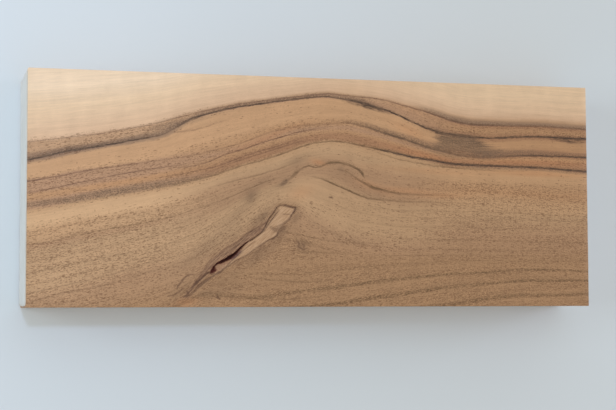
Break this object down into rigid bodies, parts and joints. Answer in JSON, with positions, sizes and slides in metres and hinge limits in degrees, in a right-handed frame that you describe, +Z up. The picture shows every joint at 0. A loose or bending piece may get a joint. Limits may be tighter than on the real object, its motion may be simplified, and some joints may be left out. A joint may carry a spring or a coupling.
{
  "type": "walnut turning blank",
  "caption": "Planed rectangular walnut blank for woodturning, with a pale sapwood edge, swirling dark figure, a bark pocket and wax-sealed end grain.",
  "frame": {"origin": "on the surface the blank lies on, under the middle of the block", "axes": "+X along the blank's length, +Y towards the sapwood edge, +Z up out of the face with the bark pocket"},
  "size_m": [0.3, 0.118, 0.04],
  "materials": {
    "walnut": "planed, unfinished",
    "end_wax": "satin wax"
  },
  "bodies": {
    "root": {"walnut_block": "walnut", "end_wax_left": "end_wax", "end_wax_right": "end_wax"}
  },
  "joints": []
}
